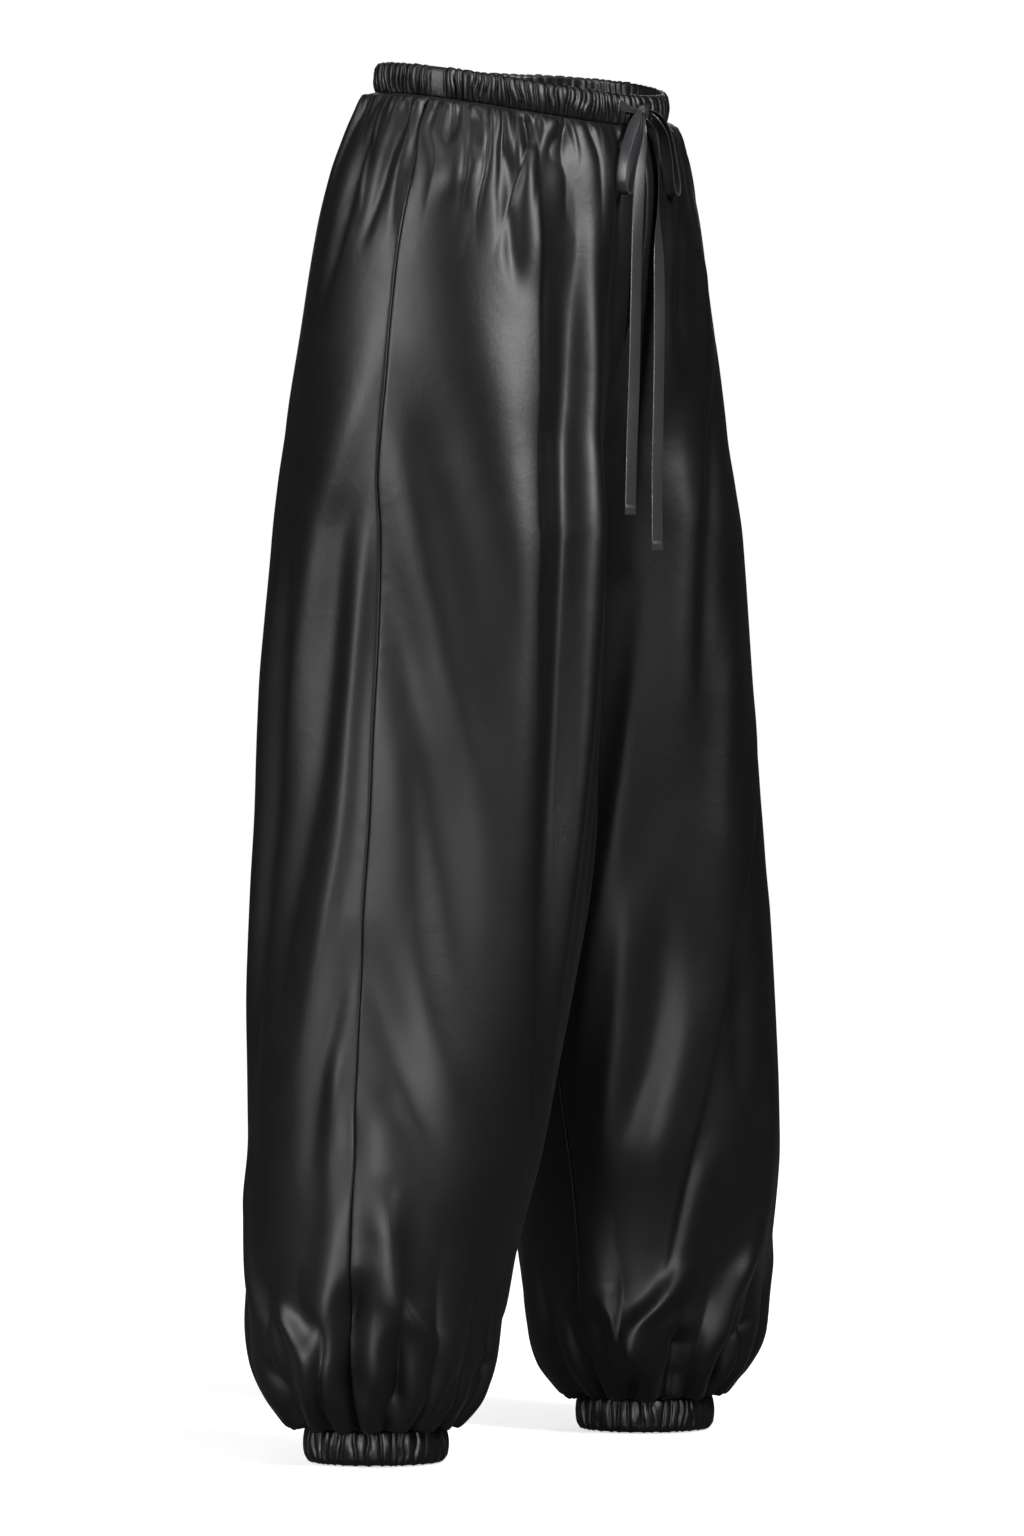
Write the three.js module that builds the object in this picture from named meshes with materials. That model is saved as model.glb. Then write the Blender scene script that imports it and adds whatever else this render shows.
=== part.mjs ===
// Satin balloon pants, filled out as if worn: two full legs gathered into an elastic
// waistband and two elastic ankle cuffs, with a ribbon drawstring tied in a bow.
// Millimetres. The origin is the middle of the waist opening. +Z is up, -Y is the front
// and +X is the wearer's left. A drop is a distance down from the waist. An angle goes
// round a leg from its outer side (0) over the front (90) to its inner side (180).

import * as THREE from 'three';

// Driving sizes
const WALL = 1.5;
const SEAM = 0.3;
const BAND = { wide: 124, deep: 101, tall: 24, wall: 3, puff: 1.7, pinch: 0.6, draw: 0.5, gathers: 72 };
const CUFF = { out: 165, back: 8, radius: 50.6, tall: 26, wall: 3, puff: 1.5, pinch: 0.5, draw: 0.6,
  gathers: 32 };
const RIM = { tilt: 0.137, lean: 0.045, saddle: 10, fade: 200 };
const STRIDE = { reach: 16, from: 330, over: 656 };
const LEG = { top: 12 + SEAM, crotch: 330, low: 987 - SEAM };
const CLEAR = 14;
const RIBBON = { wide: 9.5, thick: 1, bevel: 0.8, pinch: 0.4, spread: 24 };
// The cloth lies calmer behind the bow: its middle, reach, lowest drop and soft edge
const BOW = { x: -10, reach: 55, drop: 150, edge: 25, calm: 0.6 };
// Gathers under the waistband and over the cuff: lengths, heights, the uneven share of
// each, and how fast they rise from the seam
const TOP_GATHER = { length: 70, more: 110, high: 3.2, higher: 2.2, rise: 22, start: 0.5 };
const LOW_GATHER = { length: 40, more: 50, high: 3.4, higher: 2.2, rise: 14, start: 0.4 };
const KNOT = { x: -4, y: -108.2, z: -15.5, wide: 5.4, deep: 3.4, tall: 5 };

// Mesh fineness
const PANEL_COLUMNS = 21;
const PLEATS = 7;
const COLUMNS_PER_GATHER = 3;
const PLEAT_DRIFT = 0.02;
const GATHER_DRIFT = 0.5;
const UNEVEN_PUFF = 0.35;

// The cloth's colour and gloss
const SATIN = { color: 0x19181a, roughness: 0.42, metalness: 0 };
const SATIN_RIBBON = { color: 0x1d1c1e, roughness: 0.36, metalness: 0 };

// One leg, a row for each level. out: middle of the leg from the centre plane. wide and
// inside: half sizes to its outer and inner side. deep: half size front to back. back:
// middle of the leg behind the waist's. seam: the side seam's angle.
const SECTION_COLUMNS = ['drop', 'out', 'wide', 'inside', 'deep', 'back', 'seam'];
const SECTIONS = [
  [12, 2, 124, 124, 102, 1, 0],
  [26, 6, 127, 127, 107, 2, 1],
  [49, 14, 132, 132, 114, 4, 3],
  [71, 23, 134, 134, 118, 6.5, 5],
  [116, 42, 129, 129, 122, 9.5, 5],
  [161, 60, 120, 120, 122, 10.5, 5],
  [206, 75, 112.5, 112, 122, 10, 5],
  [251, 86, 107, 106, 122, 9, 4],
  [290, 92, 104, 100.6, 126, 8.3, 3],
  [330, 96.4, 102.4, 96, 130, 7.3, 4],
  [408, 103, 103, 101, 131.5, 7, 5],
  [475, 109, 105, 105, 131.5, 6.7, 6],
  [542, 116, 108, 108, 130, 6, 8],
  [608, 125, 109, 109, 126, 4.6, 9],
  [674, 135, 108, 108, 120.5, 3.2, 11],
  [740, 145, 106, 106, 114, 2, 13],
  [784, 151, 103, 103, 110, 2.2, 15],
  [829, 158, 99, 99, 104, 3.8, 17],
  [873, 163, 95, 95, 98, 6.5, 19],
  [917, 165, 90, 90, 91.5, 9, 20],
  [939, 165, 85, 85, 86.5, 9, 20],
  [961, 165, 75, 75, 77, 8.5, 20],
  [975, 165, 63, 63, 64, 8, 20],
  [987, 165, 50, 50, 50, 8, 20],
];

// The largest folds, a row each. from and to: drops where it starts and ends. top, mid
// and low: its angle there and halfway. wide: half its width. high: its height, less
// than zero in a trough.
const FOLD_COLUMNS = ['from', 'to', 'top', 'mid', 'low', 'wide', 'high'];
const RIGHT_FOLDS = [
  [150, 500, 0, -17, -33, 24, 7],
  [240, 720, 1, -13, -28, 12, -6],
  [290, 760, 1, -1, -22, 12, 6],
  [290, 740, -34, -37, -46, 12, -6],
  [620, 815, 8, 0, -6, 10, -4],
  [120, 430, 28, 46, 55, 28, 6],
  [15, 850, 47, 69, 114, 10, -8],
  [15, 420, 54, 74, 71, 10, -8],
  [25, 590, 62, 92, 85, 17, 9],
  [15, 205, 78, 88, 98, 7, -4],
  [200, 590, 7, 23, 46, 13, 6],
  [200, 450, 14, 31, 46, 12, -4],
  [300, 720, 7, 25, 54, 12, -6],
  [620, 750, 24, 38, 54, 11, 5],
  [650, 800, 18, 32, 47, 9, -4],
  [800, 940, 10, 10, 4, 11, 6],
  [880, 985, 21, 21, 20, 9, -8],
  [870, 950, 38, 54, 70, 11, 6],
  [900, 985, 42, 43, 46, 9, -6],
  [890, 975, -30, -16, 2, 11, 5],
  [900, 985, 90, 92, 96, 10, -6],
  [150, 560, -72, -64, -58, 24, 7],
  [190, 660, -96, -90, -78, 13, -7],
  [60, 700, -112, -116, -104, 20, 7],
  [420, 830, -146, -136, -122, 14, -7],
  [600, 880, -104, -96, -82, 18, 6],
  [560, 860, 130, 140, 152, 16, 6],
  [860, 980, -120, -112, -104, 12, -7],
  [12, 170, 86, 90, 96, 42, -3],
];
const LEFT_FOLDS = [
  [60, 235, 86, 101, 113, 9, 5],
  [60, 200, 78, 91, 104, 8, -5],
  [80, 320, 54, 77, 86, 15, 6],
  [170, 470, 64, 98, 115, 9, -5],
  [220, 400, 103, 112, 119, 14, 6],
  [370, 650, 90, 101, 111, 17, 7],
  [460, 905, 65, 111, 144, 12, -8],
  [565, 845, 140, 156, 161, 13, 7],
  [580, 810, 133, 142, 157, 10, -7],
  [580, 825, 110, 129, 148, 14, 7],
  [640, 770, 96, 101, 106, 11, -4],
  [765, 905, 117, 127, 138, 11, 6],
  [735, 915, 82, 87, 101, 14, 6],
  [930, 982, 131, 130, 130, 12, -8],
  [870, 950, 98, 107, 119, 9, 5],
  [920, 985, 80, 98, 92, 9, -6],
  [140, 480, 4, -14, -30, 23, 7],
  [230, 700, 2, -11, -26, 12, -6],
  [300, 740, -32, -38, -47, 12, -6],
  [190, 560, 10, 25, 44, 14, 6],
  [320, 700, 8, 24, 50, 12, -6],
  [790, 950, 12, 8, 2, 12, 6],
  [880, 985, 26, 24, 21, 9, -7],
  [130, 540, -70, -62, -54, 24, 7],
  [210, 680, -98, -88, -80, 13, -7],
  [80, 690, -114, -118, -106, 20, 7],
  [440, 850, -148, -134, -120, 14, -7],
  [860, 980, -118, -112, -106, 12, -7],
  [12, 170, 92, 96, 102, 32, -3],
];

// The ribbon's own points, from the knot on: x, y, z, and turn, which swings its width
// from sideways (0) to front and back (90).
const TAIL_RIGHT = [
  [-6.4, -110.2, -19.8, 10], [-9, -112, -27, 20], [-12, -112.8, -36, 26], [-14.6, -113.3, -47, 30],
  [-16.6, -113.7, -59, 34], [-18.4, -114, -72, 34], [-20, -114.2, -86, 32], [-21.2, -114.3, -100, 28],
  [-22.2, -114.3, -116, 25], [-22.8, -114.2, -134, 24], [-23.2, -114, -154, 24], [-23.6, -113.8, -176, 26],
  [-24.2, -113.7, -200, 28], [-25.2, -113.6, -222, 30], [-26.6, -113.5, -244, 30], [-27.8, -113.4, -264, 28],
  [-28.6, -113.4, -282, 26], [-29.2, -113.3, -300, 26], [-29.6, -113.3, -316, 28],
];
const TAIL_LEFT = [
  [-1.2, -109.8, -20.4, -20], [3.6, -110.8, -24.6, -30], [7.6, -112, -30, -32], [9.8, -112.9, -38, -32],
  [10.2, -113.5, -50, -32], [9.8, -113.9, -64, -32], [9.2, -114.2, -78, -30], [8.8, -114.3, -92, -20],
  [8.6, -114.4, -106, 0], [9.2, -114.4, -120, 18], [10, -114.3, -136, 26], [10.6, -114.1, -154, 28],
  [10.8, -113.9, -176, 28], [10.6, -113.8, -200, 26], [10.2, -113.7, -222, 26], [9.6, -113.6, -246, 28],
  [9, -113.5, -268, 30], [8.6, -113.4, -290, 28], [8.6, -113.4, -310, 26], [9, -113.3, -326, 28],
  [9.4, -113.3, -342, 30],
];
const LOOP_RIGHT = [
  [-9.4, -110.8, -14, 78], [-14.5, -112.6, -15.2, 80], [-21, -114.2, -19.6, 82], [-29, -115.4, -27.6, 84],
  [-37, -116.2, -38, 86], [-43.4, -116.6, -50, 88], [-47.2, -116.8, -62, 90], [-48, -117, -71.6, 90],
  [-45.8, -117.2, -78.4, 90], [-41.4, -117.2, -79, 90], [-38.6, -117, -72, 90], [-35.4, -116.8, -62, 90],
  [-31, -116.4, -51.6, 88], [-25.6, -115.8, -41.6, 86], [-19.8, -114.8, -32.6, 84], [-14.2, -113.2, -25, 80],
  [-10, -111.4, -19, 76],
];
const LOOP_LEFT = [
  [1.4, -110.8, -14, 102], [6.6, -112.6, -15.4, 100], [12, -114.2, -20, 98], [16.8, -115.4, -28, 96],
  [20.8, -116.2, -38, 94], [24.4, -116.6, -50, 92], [27.4, -116.8, -61, 90], [29, -117, -69.6, 90],
  [27.6, -117.2, -76, 90], [23.8, -117.2, -76.6, 90], [21, -117, -70, 90], [19.2, -116.8, -60, 90],
  [17.8, -116.5, -49.6, 92], [16, -116, -40, 94], [13.4, -115.4, -31, 96], [9.4, -114.4, -24, 98],
  [5.4, -113.2, -19.6, 100], [2.2, -111.9, -17, 102],
];
// Where the ribbon leaves the waistband: x on the band, and the side of the knot
const LEADS = { lead_right: { x: -27, side: -1 }, lead_left: { x: 19, side: 1 } };
const LEAD = { rise: 3, dip: 1.5, forward: 4.6, steps: 3 };

const toRadians = (degrees) => degrees * Math.PI / 180;

// A smooth step from 0 to 1
function ease(value) {
  const t = Math.min(Math.max(value, 0), 1);
  return t * t * (3 - 2 * t);
}

// A repeatable uneven number from 0 to 1 for each whole number
function uneven(count) {
  const wave = Math.sin(count * 12.9898 + 4.1) * 43758.5453;
  return wave - Math.floor(wave);
}

// Slopes for a curve through a table's column that never overshoots its rows
function columnSlopes(rows, column) {
  const steps = rows.slice(1).map((row, i) => row[0] - rows[i][0]);
  const rises = rows.slice(1).map((row, i) => (row[column] - rows[i][column]) / steps[i]);
  const slopes = rows.map((row, i) => {
    if (i === 0) return rises[0];
    if (i === rows.length - 1) return rises[i - 1];
    if (rises[i - 1] * rises[i] <= 0) return 0;
    const before = 2 * steps[i] + steps[i - 1];
    const after = steps[i] + 2 * steps[i - 1];
    return (before + after) / (before / rises[i - 1] + after / rises[i]);
  });
  return slopes;
}
const SECTION_SLOPES = SECTION_COLUMNS.map((name, column) => columnSlopes(SECTIONS, column));

// The leg's section at a drop, read from the table along smooth curves
function sectionAt(drop) {
  const last = SECTIONS.length - 2;
  const row = Math.min(Math.max(SECTIONS.findIndex((entry) => entry[0] >= drop) - 1, 0), last);
  const step = SECTIONS[row + 1][0] - SECTIONS[row][0];
  const t = (drop - SECTIONS[row][0]) / step;
  const section = {};
  SECTION_COLUMNS.forEach((name, column) => {
    const slopes = SECTION_SLOPES[column];
    section[name] = (2 * t ** 3 - 3 * t ** 2 + 1) * SECTIONS[row][column]
      + (t ** 3 - 2 * t ** 2 + t) * step * slopes[row]
      + (3 * t ** 2 - 2 * t ** 3) * SECTIONS[row + 1][column]
      + (t ** 3 - t ** 2) * step * slopes[row + 1];
  });
  return section;
}

// The waist's edge is low at the front, high at the back and up at both sides
function rimLift(x, y) {
  return RIM.tilt * y + RIM.lean * x + RIM.saddle * (x / BAND.wide) ** 2;
}

// How far the folds lift the cloth at an angle and drop of a leg
function foldLift(side, angle, drop, radius) {
  let lift = 0;
  for (const row of side < 0 ? RIGHT_FOLDS : LEFT_FOLDS) {
    const fold = Object.fromEntries(FOLD_COLUMNS.map((name, column) => [name, row[column]]));
    const t = (drop - fold.from) / (fold.to - fold.from);
    if (t <= 0 || t >= 1) continue;
    const line = fold.top * (1 - t) * (1 - 2 * t) + fold.mid * 4 * t * (1 - t) + fold.low * t * (2 * t - 1);
    const away = ((angle - line + 540) % 360 - 180) * Math.PI / 180 * radius / fold.wide;
    lift += fold.high * ease(3 * t) * ease(3 * (1 - t)) * Math.exp(-away * away);
  }
  return lift;
}

// One gather's height at a distance from its seam: it rises at once and fades out
function gatherHeight(gather, distance, seed) {
  const length = gather.length + gather.more * uneven(seed + 31);
  const high = gather.high + gather.higher * uneven(seed + 7);
  return high * ease(distance / gather.rise + gather.start) * ease((length - distance) / length);
}

// Gathers below the waistband and above the cuff, rounded ridges of uneven length
function gatherLift(panel, share, drop) {
  const count = share * PLEATS;
  const seed = panel.seed + Math.min(Math.floor(count), PLEATS - 1);
  const ridge = (1 - Math.cos(2 * Math.PI * count)) / 2;
  return ridge * (gatherHeight(TOP_GATHER, drop - LEG.top, seed)
    + gatherHeight(LOW_GATHER, LEG.low - drop, seed + PLEATS));
}

// The angle where a panel ends: on the centre plane down to the crotch, then the inseam
function innerAngle(section) {
  const reach = (section.out - SEAM / 2) / section.inside;
  const inseam = Math.PI - SEAM / 2 / section.deep;
  return reach < 1 ? Math.min(Math.acos(-reach), inseam) : inseam;
}

// A point of a panel's outer face: share runs from the side seam (0) to the inner seam (1)
function panelPoint(panel, share, drop) {
  const section = sectionAt(drop);
  const seam = toRadians(section.seam) + panel.face * SEAM / 2 / section.deep;
  const inner = panel.face * innerAngle(section);
  const uneasy = PLEAT_DRIFT * (2 * uneven(panel.seed) - 1) * Math.sin(4 * Math.PI * share);
  const angle = seam + (inner - seam) * (share + uneasy);
  const stride = STRIDE.reach * ease((drop - STRIDE.from) / STRIDE.over);
  const cosine = Math.cos(angle);
  const sine = Math.sin(angle);
  const half = cosine > 0 ? section.wide : section.inside;
  const away = section.out + half * cosine;
  const facing = new THREE.Vector2(cosine / half, -sine / section.deep).normalize();
  const radius = (half + section.deep) / 2;
  const folds = foldLift(panel.side, THREE.MathUtils.radToDeg(angle), drop, radius);
  const beside = Math.abs(panel.side * away - BOW.x);
  const bow = ease((BOW.reach - beside) / BOW.edge) * ease((BOW.drop - drop) / BOW.edge);
  const calm = panel.face > 0 ? 1 - BOW.calm * bow : 1;
  const lift = (folds + gatherLift(panel, share, drop) * calm) * ease(away / CLEAR);
  const x = panel.side * Math.max(away + facing.x * lift, SEAM / 2);
  const y = section.back - panel.side * stride - section.deep * sine + facing.y * lift;
  const lifted = rimLift(x, y) * ease(1 - (drop - LEG.top) / RIM.fade);
  return new THREE.Vector3(x, y, lifted - drop);
}

// The way the cloth faces at a point, from two short steps along its face
function panelNormal(panel, share, drop) {
  const step = 0.004;
  const s = Math.min(Math.max(share, step), 1 - step);
  const d = Math.min(Math.max(drop, LEG.top + 1), LEG.low - 1);
  const across = panelPoint(panel, s + step, d).sub(panelPoint(panel, s - step, d));
  const down = panelPoint(panel, s, d + 1).sub(panelPoint(panel, s, d - 1));
  return across.cross(down).multiplyScalar(panel.side * panel.face).normalize();
}

// A closed mesh from its points and faces, turned so that its faces look outwards
function closedMesh(name, points, faces, look) {
  const [a, b, c] = [new THREE.Vector3(), new THREE.Vector3(), new THREE.Vector3()];
  let volume = 0;
  for (const [i, j, k] of faces) {
    volume += a.copy(points[i]).dot(b.copy(points[j]).cross(c.copy(points[k])));
  }
  const turned = volume < 0 ? faces.map(([i, j, k]) => [i, k, j]) : faces;
  const geometry = new THREE.BufferGeometry().setFromPoints(points);
  geometry.setIndex(turned.flat());
  geometry.computeVertexNormals();
  const mesh = new THREE.Mesh(geometry, new THREE.MeshStandardMaterial(look));
  mesh.name = name;
  return mesh;
}

// The two triangles between four corners of a grid
function quad(faces, a, b, c, d) {
  faces.push([a, b, c], [a, c, d]);
}

// Levels of a panel's rows, closer where the cloth turns fastest
const PANEL_DROPS = [LEG.top, 24, 44, 71, 105, 150, 200, 250, 288, 312, LEG.crotch, 380, 440, 505,
  570, 635, 700, 765, 825, 875, 912, 939, 958, 972, 981, LEG.low];

// One cut piece of a leg: outer points, inner points a wall inside them, edges closed
function panelMesh(panel) {
  const drops = PANEL_DROPS;
  const columns = PANEL_COLUMNS + 1;
  const outer = [];
  const inner = [];
  for (const drop of drops) {
    for (let column = 0; column < columns; column += 1) {
      const share = column / PANEL_COLUMNS;
      const point = panelPoint(panel, share, drop);
      outer.push(point);
      inner.push(point.clone().addScaledVector(panelNormal(panel, share, drop), -WALL));
    }
  }
  const size = outer.length;
  const faces = [];
  for (let row = 0; row < drops.length - 1; row += 1) {
    for (let column = 0; column < PANEL_COLUMNS; column += 1) {
      const a = row * columns + column;
      quad(faces, a, a + 1, a + 1 + columns, a + columns);
      quad(faces, size + a, size + a + columns, size + a + 1 + columns, size + a + 1);
    }
    const left = row * columns;
    const right = left + PANEL_COLUMNS;
    quad(faces, left, left + columns, size + left + columns, size + left);
    quad(faces, right, size + right, size + right + columns, right + columns);
  }
  const last = (drops.length - 1) * columns;
  for (let column = 0; column < PANEL_COLUMNS; column += 1) {
    quad(faces, column, size + column, size + column + 1, column + 1);
    const low = last + column;
    quad(faces, low, low + 1, size + low + 1, size + low);
  }
  return closedMesh(panel.name, [...outer, ...inner], faces, SATIN);
}

// A closed ring: a closed profile of points for each step round
function ringMesh(name, steps, profileAt, look) {
  const points = [];
  let count = 0;
  for (let step = 0; step < steps; step += 1) {
    const profile = profileAt(step);
    count = profile.length;
    points.push(...profile);
  }
  const faces = [];
  for (let step = 0; step < steps; step += 1) {
    const next = (step + 1) % steps;
    for (let k = 0; k < count; k += 1) {
      const after = (k + 1) % count;
      quad(faces, step * count + k, next * count + k, next * count + after, step * count + after);
    }
  }
  return closedMesh(name, points, faces, look);
}

// How far one gather of a band or cuff stands out, from its valley (0) to its ridge (1)
function puffAt(step, seed) {
  const gather = Math.floor(step / COLUMNS_PER_GATHER);
  const ridge = step % COLUMNS_PER_GATHER === 0 ? 0 : 1;
  return ridge * (1 - UNEVEN_PUFF * uneven(gather + seed));
}

// The waistband: an elastic casing, its gathers fullest at half its height
function bandPoint(angle, out, rise) {
  const x = (BAND.wide + out) * Math.cos(angle);
  const y = -(BAND.deep + out) * Math.sin(angle);
  return new THREE.Vector3(x, y, rimLift(x, y) + rise);
}

function waistband() {
  const steps = BAND.gathers * COLUMNS_PER_GATHER;
  const half = BAND.tall / 2;
  return ringMesh('waistband', steps, (step) => {
    const angle = 2 * Math.PI * (step + GATHER_DRIFT * Math.sin(step)) / steps;
    const puff = puffAt(step, BAND.gathers);
    return [
      bandPoint(angle, BAND.pinch * puff - BAND.draw, half - 1 + puff),
      bandPoint(angle, BAND.puff * puff, 0),
      bandPoint(angle, BAND.pinch * puff - BAND.draw, -half),
      bandPoint(angle, -BAND.wall, -half),
      bandPoint(angle, -BAND.wall, half - 1),
    ];
  }, SATIN);
}

// An ankle cuff: an elastic casing like the waistband's, round and level
function cuff(name, side) {
  const steps = CUFF.gathers * COLUMNS_PER_GATHER;
  const centre = new THREE.Vector2(side * CUFF.out, CUFF.back - side * STRIDE.reach);
  const top = -(LEG.low + SEAM);
  return ringMesh(name, steps, (step) => {
    const angle = 2 * Math.PI * (step + GATHER_DRIFT * Math.sin(step + side)) / steps;
    const puff = puffAt(step, (2 + side) * CUFF.gathers);
    const at = (out, z) => new THREE.Vector3(
      centre.x + (CUFF.radius + out) * Math.cos(angle),
      centre.y - (CUFF.radius + out) * Math.sin(angle),
      z,
    );
    return [
      at(CUFF.pinch * puff - CUFF.draw, top),
      at(CUFF.puff * puff, top - CUFF.tall / 2),
      at(CUFF.pinch * puff - 2 * CUFF.draw, top - CUFF.tall + 0.5 * (1 - puff)),
      at(-CUFF.wall - CUFF.draw, top - CUFF.tall + 0.5),
      at(-CUFF.wall, top),
    ];
  }, SATIN);
}

// A flat ribbon along points, pinched where it enters the knot
function ribbonMesh(name, rows, pinchedEnds, upright = false) {
  const centres = rows.map((row) => new THREE.Vector3(row[0], row[1], row[2]));
  const lengths = [0];
  for (let i = 1; i < centres.length; i += 1) {
    lengths.push(lengths[i - 1] + centres[i].distanceTo(centres[i - 1]));
  }
  const whole = lengths[lengths.length - 1];
  const thick = RIBBON.thick / 2;
  const points = [];
  rows.forEach((row, i) => {
    const fromStart = pinchedEnds.start ? lengths[i] : whole;
    const fromEnd = pinchedEnds.end ? whole - lengths[i] : whole;
    const opened = ease(Math.min(fromStart, fromEnd) / RIBBON.spread);
    const half = RIBBON.wide / 2 * (RIBBON.pinch + (1 - RIBBON.pinch) * opened);
    const inner = half - RIBBON.bevel;
    const outline = [[-half, -thick / 2], [-inner, -thick], [inner, -thick], [half, -thick / 2],
      [half, thick / 2], [inner, thick], [-inner, thick], [-half, thick / 2]];
    const after = centres[Math.min(i + 1, rows.length - 1)];
    const along = after.clone().sub(centres[Math.max(i - 1, 0)]).normalize();
    const turn = toRadians(row[3]);
    const across = upright ? new THREE.Vector3(0, 0, 1)
      : new THREE.Vector3(Math.cos(turn), -Math.sin(turn), 0);
    across.addScaledVector(along, -across.dot(along)).normalize();
    const face = across.clone().cross(along).normalize();
    for (const [u, v] of outline) {
      points.push(centres[i].clone().addScaledVector(across, u).addScaledVector(face, v));
    }
  });
  const sides = 8;
  const faces = [];
  for (let i = 0; i < rows.length - 1; i += 1) {
    for (let k = 0; k < sides; k += 1) {
      const next = (k + 1) % sides;
      quad(faces, i * sides + k, i * sides + next, (i + 1) * sides + next, (i + 1) * sides + k);
    }
  }
  const last = (rows.length - 1) * sides;
  for (let k = 1; k < sides - 1; k += 1) {
    faces.push([0, k + 1, k], [last, last + k, last + k + 1]);
  }
  return closedMesh(name, points, faces, SATIN_RIBBON);
}

// The short stretch from a buttonhole in the waistband to the knot, its width upright
function lead(name) {
  const { x, side } = LEADS[name];
  const off = BAND.puff + RIBBON.thick / 2 + SEAM;
  const reach = KNOT.x + side * (KNOT.wide + 0.5);
  const rows = [];
  for (let i = 0; i <= LEAD.steps; i += 1) {
    const t = i / LEAD.steps;
    const place = x + (reach - x) * t;
    const angle = Math.acos(place / (BAND.wide + off));
    const point = bandPoint(angle, off, LEAD.rise * (1 - t) - LEAD.dip * t);
    rows.push([point.x, point.y - LEAD.forward * t * t, point.z, 0]);
  }
  return ribbonMesh(name, rows, { start: false, end: true }, true);
}

// The knot: a small rounded lump that the ribbon's six ends meet
function knot() {
  const geometry = new THREE.SphereGeometry(1, 12, 8);
  const mesh = new THREE.Mesh(geometry, new THREE.MeshStandardMaterial(SATIN_RIBBON));
  mesh.name = 'drawstring_knot';
  mesh.scale.set(KNOT.wide, KNOT.deep, KNOT.tall);
  mesh.position.set(KNOT.x, KNOT.y, KNOT.z);
  return mesh;
}

const PANELS = [
  { name: 'front_right', side: -1, face: 1, seed: 11 },
  { name: 'back_right', side: -1, face: -1, seed: 23 },
  { name: 'front_left', side: 1, face: 1, seed: 37 },
  { name: 'back_left', side: 1, face: -1, seed: 53 },
];

const group = new THREE.Group();
for (const panel of PANELS) {
  group.add(panelMesh(panel));
}
group.add(waistband());
group.add(cuff('cuff_right', -1));
group.add(cuff('cuff_left', 1));
group.add(knot());
group.add(lead('lead_right'));
group.add(lead('lead_left'));
group.add(ribbonMesh('loop_right', LOOP_RIGHT, { start: true, end: true }));
group.add(ribbonMesh('loop_left', LOOP_LEFT, { start: true, end: true }));
group.add(ribbonMesh('tail_right', TAIL_RIGHT, { start: true, end: false }));
group.add(ribbonMesh('tail_left', TAIL_LEFT, { start: true, end: false }));

export default group;
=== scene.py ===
"""Satin balloon pants, filled out as if worn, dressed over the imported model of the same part.

Metres in the scene, millimetres in the tables. The origin is the middle of the waist
opening, +Z is up, -Y is the wearer's front and +X the wearer's left. A drop is a distance
down from the waist. An angle goes round a leg from its outer side (0) over the front (90)
to its inner side (180).
"""

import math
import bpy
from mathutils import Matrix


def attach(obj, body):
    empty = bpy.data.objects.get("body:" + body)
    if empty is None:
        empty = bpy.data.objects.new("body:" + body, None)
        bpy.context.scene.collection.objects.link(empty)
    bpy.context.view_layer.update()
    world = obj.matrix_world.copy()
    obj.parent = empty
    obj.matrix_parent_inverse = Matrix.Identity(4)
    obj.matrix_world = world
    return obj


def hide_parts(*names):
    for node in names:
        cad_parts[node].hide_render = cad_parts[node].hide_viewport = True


bl_info = {
    "name": "Satin balloon pants",
    "version": (1, 0, 0),
    "blender": (4, 5, 0),
    "location": "3D View > Sidebar > Balloon pants",
    "description": "Draped satin legs, gathered casings and a ribbon bow over the packed part",
    "category": "Mesh",
}

import bpy
import numpy as np
from bpy.props import FloatProperty, IntProperty, PointerProperty, StringProperty
from mathutils import Vector

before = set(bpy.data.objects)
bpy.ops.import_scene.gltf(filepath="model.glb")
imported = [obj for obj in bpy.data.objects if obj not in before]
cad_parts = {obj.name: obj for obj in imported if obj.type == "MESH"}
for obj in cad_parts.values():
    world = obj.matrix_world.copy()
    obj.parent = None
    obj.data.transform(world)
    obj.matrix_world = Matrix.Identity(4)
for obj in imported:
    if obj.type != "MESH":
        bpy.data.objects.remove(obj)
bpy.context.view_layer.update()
BODY = "root"
MM = 0.001

# The cut, in millimetres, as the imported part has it
SEAM = 0.3
TOP, LOW = 12.3, 986.7
BAND_WIDE, BAND_DEEP = 124.0, 101.0
CUFF_OUT, CUFF_BACK, CUFF_RADIUS = 165.0, 8.0, 50.6
RIM_TILT, RIM_LEAN, RIM_SADDLE, RIM_FADE = 0.137, 0.022, 7.1, 200.0
STRIDE_REACH, STRIDE_FROM, STRIDE_OVER = 16.0, 330.0, 656.0
CLEAR = 14.0

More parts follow.
